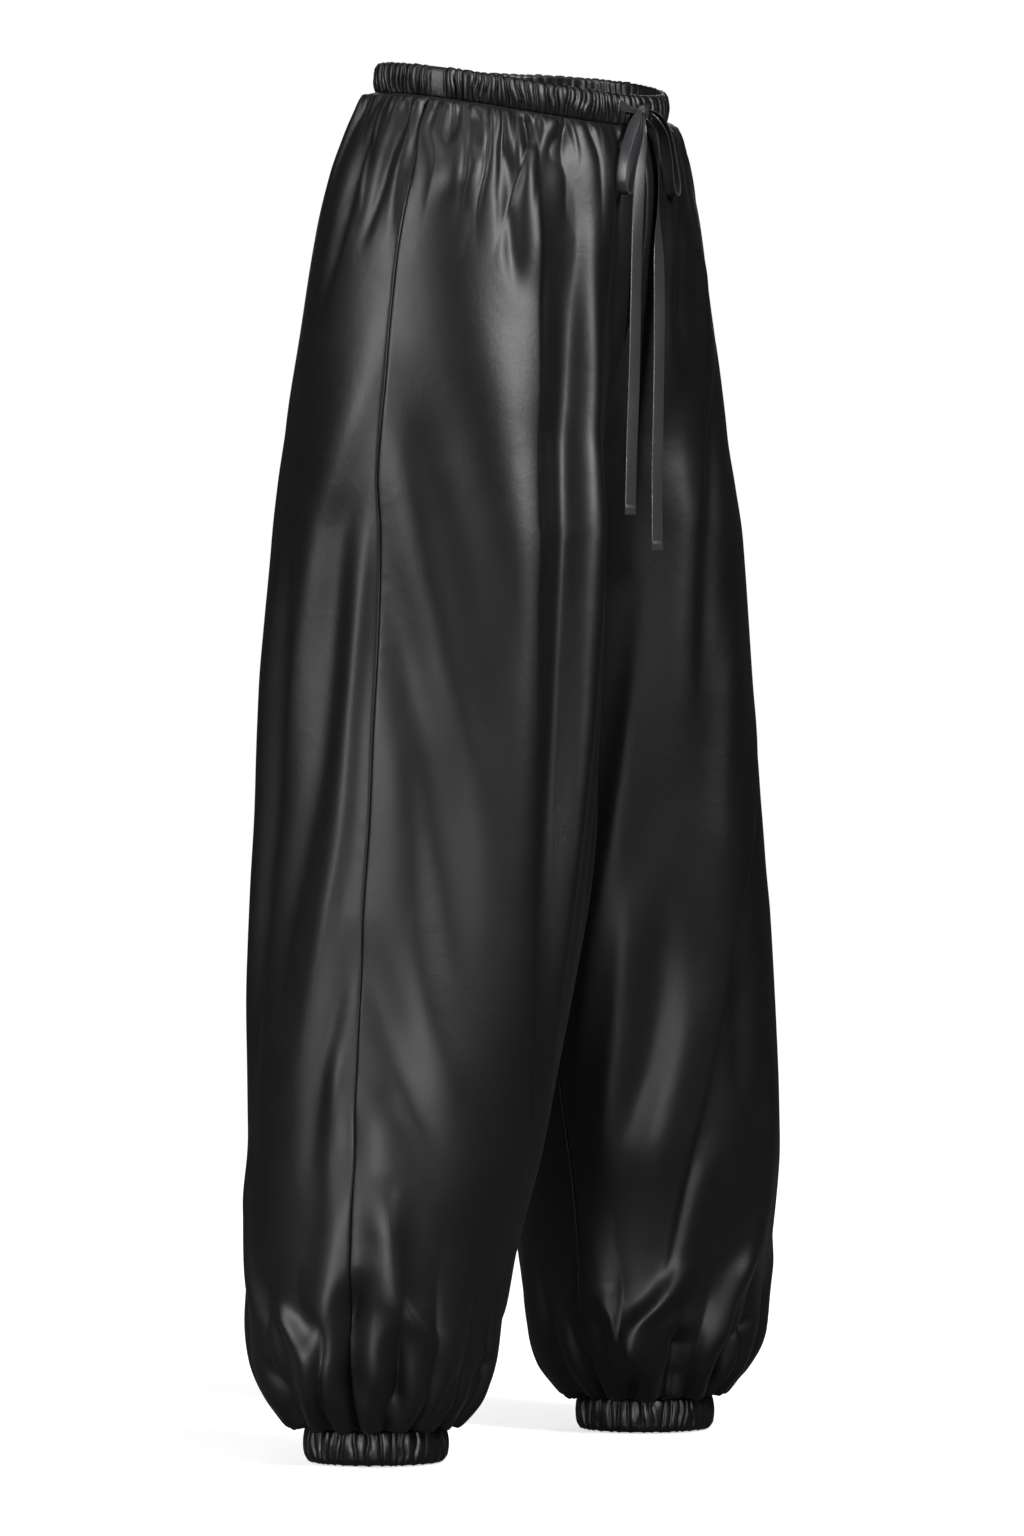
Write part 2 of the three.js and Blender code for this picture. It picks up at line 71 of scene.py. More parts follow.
# One leg, a row for each level: drop, middle of the leg from the centre plane, half sizes
# to its outer and inner side, half size front to back, middle behind the waist's, and the
# side seam's angle
SECTION_COLUMNS = ("drop", "out", "wide", "inside", "deep", "back", "seam")
SECTIONS = np.array([
    [12, 2, 124, 124, 102, 1, 0],
    [26, 6, 127, 127, 107, 2, 1],
    [49, 14, 132, 132, 114, 4, 3],
    [71, 23, 134, 134, 118, 6.5, 5],
    [116, 42, 129, 129, 122, 9.5, 5],
    [161, 60, 120, 120, 122, 10.5, 5],
    [206, 75, 112.5, 112, 122, 10, 5],
    [251, 86, 107, 106, 122, 9, 4],
    [290, 92, 104, 100.6, 126, 8.3, 3],
    [330, 96.4, 102.4, 96, 130, 7.3, 4],
    [408, 103, 103, 101, 131.5, 7, 5],
    [475, 109, 105, 105, 131.5, 6.7, 6],
    [542, 116, 108, 108, 130, 6, 8],
    [608, 125, 109, 109, 126, 4.6, 9],
    [674, 135, 108, 108, 120.5, 3.2, 11],
    [740, 145, 106, 106, 114, 2, 13],
    [784, 151, 103, 103, 110, 2.2, 15],
    [829, 158, 99, 99, 104, 3.8, 17],
    [873, 163, 95, 95, 98, 6.5, 19],
    [917, 165, 90, 90, 91.5, 9, 20],
    [939, 165, 85, 85, 86.5, 9, 20],
    [961, 165, 75, 75, 77, 8.5, 20],
    [975, 165, 63, 63, 64, 8, 20],
    [987, 165, 50, 50, 50, 8, 20],
])

# The creases, a row each: its height (below zero in a trough), its half widths
# towards smaller and greater angles, and its way as (drop, angle) points
LONG_FRONT = [
    (12, 40), (69, 48), (150, 57), (246, 62), (310, 61), (380, 61), (441, 63), (522, 66),
    (627, 74), (744, 86), (816, 100), (870, 114),
]
# The long crease's foot: a trough just past it
FRONT_TROUGH = [(drop, angle + past) for (drop, angle), past
                in zip(LONG_FRONT, (1.5, 1.6, 1.7, *[1.8] * 7, 2, 2))]
RIGHT_CREASES = [
    # Front, from the side seam to the centre
    (5, 41, 2.5, LONG_FRONT),
    (-4, 2.5, 40, FRONT_TROUGH),
    (-11, 22, 12, [(-30, 53), (45, 60), (84, 65), (150, 72), (246, 79), (324, 77), (393, 76),
     (470, 77), (560, 80), (640, 86), (760, 99)]),
    (8, 20, 14, [(20, 61), (72, 69), (129, 76), (183, 84), (234, 89), (291, 91), (363, 91),
     (438, 90), (540, 88), (650, 92), (740, 103), (820, 114)]),
    (-9, 12, 16, [(120, 94), (192, 103), (261, 112), (336, 114), (408, 116), (500, 116),
     (585, 116), (660, 120)]),
    (-4, 7, 14, [(15, 78), (87, 85), (147, 93), (215, 99)]),
    (5, 41, 29, [(30, 22), (110, 27), (171, 33), (231, 43), (300, 49), (369, 52), (450, 55),
     (640, 64)]),
    (-4, 24, 22, [(190, 12), (252, 24), (300, 29), (348, 35), (393, 40), (450, 46)]),
    (4.5, 22, 17, [(210, 7), (258, 10), (300, 14), (348, 18), (381, 22), (429, 28), (474, 35),
     (590, 47)]),
    (-5, 17, 22, [(290, 7), (357, 10), (417, 16), (462, 21), (530, 29), (588, 36), (627, 41),
     (725, 55)]),
    (3.5, 24, 17, [(420, 16), (500, 20), (560, 23), (630, 27), (684, 35), (714, 43), (738, 51),
     (765, 60)]),
    (-4, 14, 22, [(610, 9), (663, 18), (696, 24), (732, 32), (762, 40), (792, 47), (820, 53)]),
    (3.5, 17, 17, [(720, 16), (762, 22), (813, 26), (850, 28)]),
    (5.5, 14, 14, [(770, 11), (870, 10), (900, 9), (960, 3)]),
    (-11, 11, 10, [(860, 23), (900, 21), (940, 21), (986, 20)]),
    (9, 17, 11, [(790, 28), (882, 40), (900, 48), (915, 57), (950, 70)]),
    (-5.5, 8, 8, [(905, 39), (939, 42), (969, 45), (986, 46)]),
    (-4, 6, 8, [(930, 75), (951, 73), (986, 67)]),
    (-4, 6, 8, [(925, 108), (948, 92), (970, 92), (986, 97)]),
    (3.5, 12, 11, [(12, 33), (48, 40), (72, 46), (105, 51), (160, 56)]),
    (-3, 6, 8, [(12, 28), (36, 32), (66, 39), (108, 43), (165, 50)]),
    (4, 13, 13, [(14, 22), (45, 22), (95, 24)]),
    (-3, 5, 7, [(12, 10), (27, 12), (50, 15)]),
    (-3.5, 5, 7, [(12, 19), (33, 23), (60, 27)]),
    (-4, 5, 6, [(12, 39), (18, 40), (45, 43)]),
    (-3.5, 17, 19, [(120, 118), (300, 126), (430, 130)]),
    (5, 22, 22, [(430, 112), (560, 124), (700, 138), (850, 150)]),
    (4, 19, 19, [(60, 104), (200, 112), (330, 116)]),
    # Back, from the side seam to the centre
    (2.5, 7, 7, [(12, -14), (42, -19), (75, -16), (110, -14)]),
    (-4, 11, 5, [(14, -25), (63, -21), (105, -22), (141, -26), (180, -33)]),
    (-2.5, 6, 6, [(12, -13), (39, -6), (78, -6), (135, -11)]),
    (2.5, 7, 5, [(12, -1), (48, -1), (102, 1), (135, 3)]),
    (5.5, 31, 20, [(140, -1), (207, -4), (258, -11), (294, -16), (327, -23), (366, -26),
     (441, -31), (560, -33)]),
    (-4, 17, 13, [(240, 0), (288, -7), (340, -12), (480, -13), (561, -18), (657, -26),
     (740, -28)]),
    (4, 14, 8, [(250, 1), (348, -2), (462, -3), (540, -2), (612, -5), (687, -10), (720, -14),
     (765, -24)]),
    (-6.5, 16, 6, [(280, -32), (333, -35), (450, -36), (525, -37), (609, -41), (669, -43),
     (760, -46)]),
    (-3.5, 11, 11, [(610, 5), (648, 3), (687, 0), (762, -4), (820, -6)]),
    (2.5, 10, 8, [(690, 3), (744, 5), (783, 6), (830, 7)]),
    (5.5, 19, 16, [(230, -44), (400, -51), (600, -55), (760, -60), (860, -56)]),
    (8, 11, 11, [(880, -28), (897, -17), (912, -6), (940, 2), (986, -8)]),
    (-4, 8, 6, [(930, -36), (960, -23), (986, -29)]),
    (5.5, 16, 11, [(770, -54), (870, -44), (930, -27)]),
    (-4.5, 11, 10, [(860, -32), (905, -20), (935, -13), (986, -14)]),
    (6, 26, 24, [(130, -72), (300, -66), (560, -60)]),
    (-6, 13, 14, [(190, -96), (420, -90), (660, -78)]),
    (6, 24, 23, [(60, -112), (380, -116), (700, -104)]),
    (-6, 14, 14, [(420, -146), (640, -136), (830, -122)]),
    (5, 20, 20, [(600, -104), (740, -96), (880, -82)]),
    (-6, 12, 12, [(880, -118), (930, -110), (986, -106)]),
    (-5, 10, 10, [(900, -76), (940, -72), (986, -70)]),
    (5, 14, 14, [(860, -96), (920, -90), (975, -88)]),
]
LONG_LEFT = [
    (440, 60), (525, 82), (567, 91), (621, 102), (675, 110), (729, 118), (771, 125), (804, 131),
    (843, 136), (882, 140), (912, 143),
]
LEFT_TROUGH = [(drop, angle - 1.6) for drop, angle in LONG_LEFT]
LEFT_CREASES = [
    # Front, from the outer side to the inner one
    (5, 2.5, 34, LONG_LEFT),
    (-5.5, 22, 2.5, LEFT_TROUGH),
    (4, 12, 12, [(50, 84), (123, 95), (180, 104), (245, 113)]),
    (-4.5, 10, 6, [(50, 77), (105, 88), (144, 96), (210, 106)]),
    (4.5, 14, 13, [(95, 66), (141, 76), (215, 84)]),
    (-4.5, 14, 7, [(165, 60), (240, 85), (276, 94), (336, 106), (399, 110), (480, 115)]),
    (5.5, 26, 19, [(210, 98), (288, 110), (360, 117), (450, 122), (540, 127)]),
    (5, 26, 17, [(360, 88), (462, 98), (560, 106), (640, 112)]),
    (5.5, 17, 13, [(560, 139), (630, 147), (684, 152), (738, 158), (783, 163), (850, 169)]),
    (-3, 16, 14, [(575, 131), (651, 136), (708, 140), (759, 149), (820, 158)]),
    (4, 19, 19, [(640, 120), (708, 129), (750, 136), (792, 144), (850, 149)]),
    (-3.5, 12, 11, [(640, 96), (700, 101), (770, 104)]),
    (4.5, 13, 11, [(775, 116), (828, 126), (867, 131), (915, 138)]),
    (5.5, 17, 16, [(690, 82), (831, 86), (873, 93), (940, 104)]),
    (5, 19, 10, [(320, 130), (438, 138), (537, 147), (609, 156), (717, 170), (790, 178)]),
    (8, 10, 10, [(895, 168), (942, 159), (975, 151)]),
    (9, 12, 10, [(870, 128), (906, 140), (928, 152), (975, 155)]),
    (-12, 11, 12, [(925, 131), (945, 131), (986, 130)]),
    (8, 12, 11, [(860, 92), (909, 106), (936, 110), (960, 118)]),
    (-8, 8, 7, [(915, 80), (942, 100), (966, 103), (986, 91)]),
    (-5, 7, 10, [(900, 165), (940, 168), (986, 170)]),
    (-3.5, 7, 8, [(14, 42), (100, 50), (190, 60)]),
    (3, 8, 8, [(14, 26), (80, 31), (160, 36)]),
    (-3, 7, 7, [(14, 8), (70, 12), (140, 14)]),
    (5, 24, 19, [(190, 8), (380, 26), (560, 44)]),
    (-5, 14, 17, [(320, 8), (500, 25), (700, 50)]),
    (4.5, 19, 14, [(600, 18), (760, 30), (880, 38)]),
    (-6, 11, 10, [(870, 26), (930, 23), (986, 21)]),
    (5, 14, 12, [(850, 50), (920, 62), (975, 66)]),
    (4, 19, 19, [(60, 122), (200, 128), (330, 128)]),
    # Back, from the outer side to the inner one
    (2.5, 7, 7, [(12, -12), (60, -16), (120, -15)]),
    (-4, 10, 5, [(20, -24), (90, -22), (180, -31)]),
    (5.5, 29, 22, [(130, 2), (310, -14), (500, -31)]),
    (-4, 16, 14, [(240, 1), (470, -12), (720, -26)]),
    (-5.5, 14, 7, [(300, -32), (520, -38), (740, -47)]),
    (6, 26, 24, [(130, -70), (330, -63), (560, -56)]),
    (-6, 14, 14, [(210, -98), (450, -89), (680, -80)]),
    (6, 24, 23, [(80, -114), (390, -118), (690, -106)]),
    (-6, 14, 14, [(440, -148), (650, -134), (850, -120)]),
    (5, 18, 18, [(620, -66), (760, -60), (900, -52)]),
    (-6, 12, 12, [(880, -116), (930, -111), (986, -108)]),
    (5, 14, 14, [(860, -92), (920, -86), (975, -84)]),
    (-5, 10, 10, [(880, -34), (930, -30), (986, -27)]),
]

# Gathers that fall from the waistband and stand on the cuff, a row for each size of them:
# how many a panel has, the least and greatest length, the least and greatest height, the
# distance over which they rise, and the share of their height that they have at the seam
TOP_GATHERS = [
    [22, 14, 50, 1.0, 2.4, 5, 0.45],
    [11, 45, 130, 2.2, 5.0, 10, 0.4],
    [4, 90, 190, 2.6, 5.2, 20, 0.4],
]
LOW_GATHERS = [
    [17, 16, 40, 0.8, 1.8, 4, 0.4],
    [9, 70, 170, 6.5, 11.0, 12, 0.35],
]
# How broad a gather's top is against its valley
RIDGE_POWER = 2.4
# The cloth lies calmer behind the bow: the place's middle, reach, lowest drop and soft edge,
# and the share by which it is calmer
BOW_X, BOW_REACH, BOW_DROP, BOW_EDGE, BOW_CALM = -10.0, 55.0, 150.0, 25.0, 0.6

PANELS = [
    {"name": "front_right", "side": -1, "face": 1, "seed": 11},
    {"name": "back_right", "side": -1, "face": -1, "seed": 23},
    {"name": "front_left", "side": 1, "face": 1, "seed": 37},
    {"name": "back_left", "side": 1, "face": -1, "seed": 53},
]

# The ribbon's own points, from the knot on: x, y, z, and turn, which swings its width
# from sideways (0) to front and back (90)
TAIL_RIGHT = [
    [-6.4, -110.2, -19.8, 10], [-9, -112, -27, 20], [-12, -112.8, -36, 26],
    [-14.6, -113.3, -47, 30], [-16.6, -113.7, -59, 34], [-18.4, -114, -72, 34],
    [-20, -114.2, -86, 32], [-21.2, -114.3, -100, 28], [-22.2, -114.3, -116, 25],
    [-22.8, -114.2, -134, 24], [-23.2, -114, -154, 24], [-23.6, -113.8, -176, 26],
    [-24.2, -113.7, -200, 28], [-25.2, -113.6, -222, 30], [-26.6, -113.5, -244, 30],
    [-27.8, -113.4, -264, 28], [-28.6, -113.4, -282, 26], [-29.2, -113.3, -300, 26],
    [-29.6, -113.3, -316, 28],
]
TAIL_LEFT = [
    [-1.2, -109.8, -20.4, -20], [3.6, -110.8, -24.6, -30], [7.6, -112, -30, -32],
    [9.8, -112.9, -38, -32], [10.2, -113.5, -50, -32], [9.8, -113.9, -64, -32],
    [9.2, -114.2, -78, -30], [8.8, -114.3, -92, -20], [8.6, -114.4, -106, 0],
    [9.2, -114.4, -120, 18], [10, -114.3, -136, 26], [10.6, -114.1, -154, 28],
    [10.8, -113.9, -176, 28], [10.6, -113.8, -200, 26], [10.2, -113.7, -222, 26],
    [9.6, -113.6, -246, 28], [9, -113.5, -268, 30], [8.6, -113.4, -290, 28],
    [8.6, -113.4, -310, 26], [9, -113.3, -326, 28], [9.4, -113.3, -342, 30],
]
LOOP_RIGHT = [
    [-9.4, -110.8, -14, 78], [-14.5, -112.6, -15.2, 80], [-21, -114.2, -19.6, 82],
    [-29, -115.4, -27.6, 84], [-37, -116.2, -38, 86], [-43.4, -116.6, -50, 88],
    [-47.2, -116.8, -62, 90], [-48, -117, -71.6, 90], [-45.8, -117.2, -78.4, 90],
    [-41.4, -117.2, -79, 90], [-38.6, -117, -72, 90], [-35.4, -116.8, -62, 90],
    [-31, -116.4, -51.6, 88], [-25.6, -115.8, -41.6, 86], [-19.8, -114.8, -32.6, 84],
    [-14.2, -113.2, -25, 80], [-10, -111.4, -19, 76],
]
LOOP_LEFT = [
    [1.4, -110.8, -14, 102], [6.6, -112.6, -15.4, 100], [12, -114.2, -20, 98],
    [16.8, -115.4, -28, 96], [20.8, -116.2, -38, 94], [24.4, -116.6, -50, 92],
    [27.4, -116.8, -61, 90], [29, -117, -69.6, 90], [27.6, -117.2, -76, 90],
    [23.8, -117.2, -76.6, 90], [21, -117, -70, 90], [19.2, -116.8, -60, 90],
    [17.8, -116.5, -49.6, 92], [16, -116, -40, 94], [13.4, -115.4, -31, 96],
    [9.4, -114.4, -24, 98], [5.4, -113.2, -19.6, 100], [2.2, -111.9, -17, 102],
]
KNOT = {"x": -4.0, "y": -108.2, "z": -15.5, "wide": 5.4, "deep": 3.4, "tall": 5.0}
# Where the ribbon leaves the waistband: x on the band, and the side of the knot
LEADS = {"lead_right": (-27.0, -1), "lead_left": (19.0, 1)}
LEAD_RISE, LEAD_DIP, LEAD_FORWARD = 3.0, 1.5, 4.6

# The camera, in metres and degrees, as solved from the waistband and the cuffs
CAMERA_AZIMUTH, CAMERA_DISTANCE, CAMERA_Z = -58.0, 6.0, -0.441
FRAME_HIGH = 1536
FOCAL_PIXELS = 7980.0
AIM_LEFT, AIM_DOWN = 10.0, 84.0
FLOOR_Z = -1.0135
# How strongly the room itself lights the cloth; the camera sees it white
ROOM_LIGHT = 0.02
# The soft studio lights, a row each: its name, how far it stands towards the camera, to the
# picture's right and up, its size across and up, its power, the height it is aimed at, and
# its spread in degrees
LIGHTS = [
    ("key", 2.1, 1.8, 1.4, 1.0, 1.2, 98.0, -0.35, 180),
    ("fill", 1.4, -2.4, 0.9, 1.0, 1.6, 54.0, -0.5, 180),
    ("overhead", 0.8, 0.0, 2.4, 1.8, 1.4, 16.0, -0.5, 180),
    ("low strip", 1.7, -0.6, -0.88, 1.6, 0.2, 2.6, -0.98, 60),
    ("behind", -2.4, 0.0, 0.8, 1.4, 1.8, 10.0, -0.5, 180),
]


class SatinSizes(bpy.types.PropertyGroup):
    """Sizes of the cloth, the gathers and the ribbon"""

    cloth: FloatProperty(
        name="Cloth", description="Thickness of the satin", default=0.0005, unit="LENGTH")
    groove: FloatProperty(
        name="Seam groove", description="Depth of the dip along each seam", default=0.0014,
        unit="LENGTH")
    columns: IntProperty(
        name="Columns", description="Steps across one panel", default=176, min=20, max=190)
    rows: IntProperty(name="Rows", description="Steps down one panel", default=236, min=40, max=260)
    band_gathers: IntProperty(
        name="Waistband gathers", description="Puffs round the waistband", default=92, min=20)
    cuff_gathers: IntProperty(
        name="Cuff gathers", description="Puffs round each cuff", default=40, min=12)
    ribbon: FloatProperty(
        name="Ribbon", description="Width of the satin ribbon", default=0.0095, unit="LENGTH")
    ribbon_cloth: FloatProperty(
        name="Ribbon cloth", description="Thickness of the ribbon", default=0.0006, unit="LENGTH")


class SatinColours(bpy.types.PropertyGroup):
    """Colours and gloss of the satin, as sRGB hex values"""

    satin: StringProperty(name="Satin", description="Black polyester satin", default="0D0C0E")
    # The ribbon's paler grey is painted sheen: it is the same black satin as the legs, given a
    # lighter colour so that its loops look lit
    ribbon: StringProperty(name="Ribbon", description="Black satin ribbon", default="38373A")
    floor: StringProperty(name="Floor", description="Pale studio floor", default="F4F4F4")
    gloss: FloatProperty(
        name="Roughness", description="Roughness of the satin", default=0.44, min=0.05, max=1.0,
        subtype="FACTOR")


# Small helpers

def ease(value):
    """A smooth step: 3 t squared less 2 t cubed, with t held between 0 and 1."""
    t = np.clip(value, 0.0, 1.0)
    return t * t * (3 - 2 * t)


def step_lengths(points, axis=0):
    """Lengths of the steps from each point to the next along one axis of a grid."""
    return np.linalg.norm(np.diff(points, axis=axis), axis=-1)


def from_start(lengths):
    """Distance of each point from the first, along a line with steps of those lengths."""
    return np.concatenate([[0], np.cumsum(lengths)])


def column_slopes(x, y):
    """Slopes of a curve through (x, y) that never overshoots: a weighted harmonic mean of the
    rises on both sides of a row, and none where they differ in sign."""
    step = np.diff(x)
    rise = np.diff(y) / step
    before = 2 * step[1:] + step[:-1]
    after = step[1:] + 2 * step[:-1]
    same = rise[:-1] * rise[1:] > 0
    left = np.where(same, rise[:-1], 1.0)
    right = np.where(same, rise[1:], 1.0)
    inner = np.where(same, (before + after) / (before / left + after / right), 0.0)
    return np.concatenate([rise[:1], inner, rise[-1:]])


def cubic(t, step, start, end, slope_start, slope_end):
    """The cubic over one step that has both ends' values and slopes: t goes from 0 to 1."""
    return ((2 * t**3 - 3 * t**2 + 1) * start + (t**3 - 2 * t**2 + t) * step * slope_start
            + (3 * t**2 - 2 * t**3) * end + (t**3 - t**2) * step * slope_end)


def curve(at, x, y):
    """A smooth curve through (x, y), read at each place: a cubic between two points, with the
    slopes of column_slopes at both, and held level past its ends."""
    at = np.clip(at, x[0], x[-1])
    row = np.clip(np.searchsorted(x, at) - 1, 0, len(x) - 2)
    step = x[row + 1] - x[row]
    t = (at - x[row]) / step
    slope = column_slopes(x, y)
    return cubic(t, step, y[row], y[row + 1], slope[row], slope[row + 1])


def section_at(drop):
    """The leg's section at each drop: curves through the columns of SECTIONS."""
    return {name: curve(drop, SECTIONS[:, 0], SECTIONS[:, column])
            for column, name in enumerate(SECTION_COLUMNS)}


def rim_lift(x, y):
    """The waist's edge: low at the front, high at the back and up at both sides."""
    return RIM_TILT * y + RIM_LEAN * x + RIM_SADDLE * (x / BAND_WIDE) ** 2


# About the peak of three or four such sines
WAVES_PEAK = 1.6


def waves(at, rng, count, longest):
    """A smooth uneven line from -1 to 1: sines of shorter and shorter length, added up."""
    total = np.zeros(np.shape(at))
    for k in range(count):
        phase = rng.uniform(0, 2 * math.pi)
        total = total + np.sin(2 * math.pi * at * (k + 1) / longest + phase) / (k + 1)
    return total / WAVES_PEAK


def crease_lift(rows, angle, drop, radius):
    """The creases given in the rows: each is a bell across a curved line of angles, with a width of
    its own on both sides, eased in over its first third and out over its last."""
    lift = np.zeros(angle.shape)
    for high, before, after, way in rows:
        drops, angles = np.array(way, float).T
        t = (drop - drops[0]) / (drops[-1] - drops[0])
        line = curve(drop, drops, angles)
        away = np.radians((angle - line + 540) % 360 - 180) * radius
        away = away / np.where(away < 0, before, after)
        lift += high * ease(3 * t) * ease(3 * (1 - t)) * np.exp(-away * away)
    return lift


SMALL_CREASES = 12


def small_creases(panel, angle, drop, radius):
    """Soft shallow creases between the large ones, at seeded places, all falling slantwise."""
    rng = np.random.default_rng(panel["seed"] + 400)
    rows = []
    for _ in range(SMALL_CREASES):
        start = rng.uniform(60, 760)
        length = rng.uniform(90, 240)
        place = panel["face"] * rng.uniform(8, 170)
        slant = panel["face"] * rng.uniform(-10, 26) * length / 150
        high = rng.uniform(0.4, 1.1) * rng.choice([-1, 1])
        way = [(start, place), (start + length / 2, place + slant / 2 + rng.uniform(-4, 4)),
               (start + length, place + slant)]
        rows.append((high, rng.uniform(14, 28), rng.uniform(14, 28), way))
    return crease_lift(rows, angle, drop, radius)


def uneven_starts(count, least, most, rng):
    """Where each of that many uneven stretches starts, from 0 to 1, and the end of the last."""
    gaps = rng.uniform(least, most, count)
    return from_start(gaps) / gaps.sum()


def ridge_at(place, count):
    """Which ridge each place is on, and how far from its top: 0 there and 1 in a valley."""
    ridge = np.clip(np.floor(place).astype(int), 0, count - 1)
    return ridge, np.abs(2 * (place - ridge) - 1)


def gather_lift(rows, share, distance, rng):
    """Rounded ridges between narrow valleys, of uneven width, length and height: each rises
    at once from the seam and fades out at its own length."""
    lift = np.zeros(np.broadcast(share, distance).shape)
    for count, short, long, low, high, rise, start in rows:
        valleys = uneven_starts(count, 0.55, 1.45, rng)
        drift = waves(share * 3 + distance / 160, rng, 3, 1.7) * 0.35 / count
        place = np.interp(share + drift * ease(distance / 30), valleys, np.arange(count + 1))
        ridge, across = ridge_at(place, count)
        shape = 1 - np.clip(across, 0, 1) ** RIDGE_POWER
        tall = rng.uniform(low, high, count)[ridge]
        length = rng.uniform(short, long, count)[ridge]
        lift += tall * shape * ease(distance / rise + start) * ease((length - distance) / length)
    return lift


PUCKER_HIGH, PUCKER_LONG, PUCKER_REACH = 0.28, 12, 8


def seam_puckers(panel, apart, drop):
    """Short ripples across the side seam, in patches down its length: a wave along the seam
    that dies away within a few centimetres of it."""
    rng = np.random.default_rng(panel["seed"] + 900)
    patches = ease(waves(drop / 1000, rng, 4, 0.45) * 1.5 + 0.35)
    way = drop + 9 * waves(drop / 1000, rng, 4, 0.2)
    wave = np.sin(2 * math.pi * way / PUCKER_LONG + apart / 6)
    return PUCKER_HIGH * patches * wave * np.exp(-apart / PUCKER_REACH) * ease(apart / 2)


# How far the rows gather at both ends of a panel: 0 for even rows
ROWS_CLOSER = 0.55
# Columns beside a seam: their distance from it in millimetres
SEAM_STEPS = np.array([0.0, 0.3, 0.8, 1.5, 2.6])
# The turned-in edge behind a seam: how far in its columns lie
TURNED_IN = np.array([4.5, 2.2])


def panel_surface(panel, sizes):
    """One cut piece of a leg as a grid of points: rows go down by drop, columns go from the
    side seam to the inner seam. A point lies on the leg's oval section, pushed out by the
    creases and gathers, drawn in at its seams, and shifted up by the waist's own curve."""
    side, face = panel["side"], panel["face"]
    rng = np.random.default_rng(panel["seed"])
    t = np.linspace(0, 1, sizes.rows)[:, None]
    # Closer rows towards both ends, where the gathers are
    closer = 0.5 - 0.5 * np.cos(math.pi * t)
    drop = TOP + (LOW - TOP) * ((1 - ROWS_CLOSER) * t + ROWS_CLOSER * closer)
    section = section_at(drop)
    reach = (section["out"] - SEAM / 2) / section["inside"]
    inseam = math.pi - SEAM / 2 / section["deep"]
    inner = np.where(reach < 1, np.minimum(np.arccos(-np.clip(reach, -1, 1)), inseam), inseam)
    seam = np.radians(section["seam"]) + face * SEAM / 2 / section["deep"]
    width = np.abs(face * inner - seam) * (section["wide"] + section["deep"]) / 2

    edge = SEAM_STEPS / width
    middle = np.linspace(0, 1, sizes.columns)[None, 1:-1]
    middle = edge[:, -1:] + (1 - 2 * edge[:, -1:]) * middle
    share = np.concatenate([edge[:, :1], edge[:, :1], edge, middle, 1 - edge[:, ::-1],
                            1 - edge[:, :1], 1 - edge[:, :1]], axis=1)
    apart = np.minimum(share, 1 - share) * width
    angle = seam + (face * inner - seam) * share
    cosine, sine = np.cos(angle), np.sin(angle)
    half = np.where(cosine > 0, section["wide"], section["inside"])
    away = section["out"] + half * cosine
    out_x, out_y = cosine / half, -sine / section["deep"]
    long = np.hypot(out_x, out_y)
    out_x, out_y = out_x / long, out_y / long
    widening = np.gradient(section["deep"][:, 0], drop[:, 0])[:, None]
    level = 1 / np.hypot(1, widening)
    radius = (half + section["deep"]) / 2
    degrees = np.degrees(angle)

    rows = RIGHT_CREASES if side < 0 else LEFT_CREASES
    lift = crease_lift(rows, degrees, drop, radius)
    lift += small_creases(panel, degrees, drop, radius)
    beside = np.abs(side * away - BOW_X)
    bow = ease((BOW_REACH - beside) / BOW_EDGE) * ease((BOW_DROP - drop) / BOW_EDGE)
    calm = 1 - BOW_CALM * bow if face > 0 else 1.0
    lift += gather_lift(TOP_GATHERS, share, drop - TOP, rng) * calm
    lift += gather_lift(LOW_GATHERS, share, LOW - drop, rng)
    lift += seam_puckers(panel, share * width, drop)
    lift *= ease(away / CLEAR)

    groove = sizes.groove / MM
    steps = SEAM_STEPS[-1]
    tuck = groove * (1 - np.sqrt(1 - (1 - np.clip(apart / steps, 0, 1)) ** 2))
    count = share.shape[1]
    turned = np.zeros(count)
    turned[:2] = TURNED_IN
    turned[-2:] = TURNED_IN[::-1]
    tuck = tuck + turned[None, :]
    in_x = out_x * ease(away / CLEAR)
    in_y = np.sign(out_y + 1e-9) * np.sqrt(1 - in_x**2)

    across = away + out_x * lift * level - in_x * tuck
    y = (section["back"] - side * STRIDE_REACH * ease((drop - STRIDE_FROM) / STRIDE_OVER)
         - section["deep"] * sine + out_y * lift * level - in_y * tuck)
    x = side * np.maximum(across, SEAM / 2)
    z = rim_lift(x, y) * ease(1 - (drop - TOP) / RIM_FADE) - drop
    z = z + lift * widening * level * ease(np.minimum(drop - TOP, LOW - drop) / 6)
    points = np.stack([x, y, z], axis=-1)
    inward = np.stack([-side * in_x, -in_y, np.zeros_like(in_x)], axis=-1)
    top = [points[:1] + inward[:1] * depth for depth in TURNED_IN]
    low = [points[-1:] + inward[-1:] * depth for depth in TURNED_IN[::-1]]
    return np.concatenate([*top, points, *low], axis=0)


def cloth_uv(points):
    """Metres along the cloth from a grid's first row and column, so that a pattern keeps its
    real size."""
    across, down = step_lengths(points, 1), step_lengths(points)
    u = np.concatenate([np.zeros((len(points), 1)), np.cumsum(across, axis=1)], axis=1)
    v = np.concatenate([np.zeros((1, points.shape[1])), np.cumsum(down, axis=0)], axis=0)
    return np.stack([u, -v], axis=-1) * MM


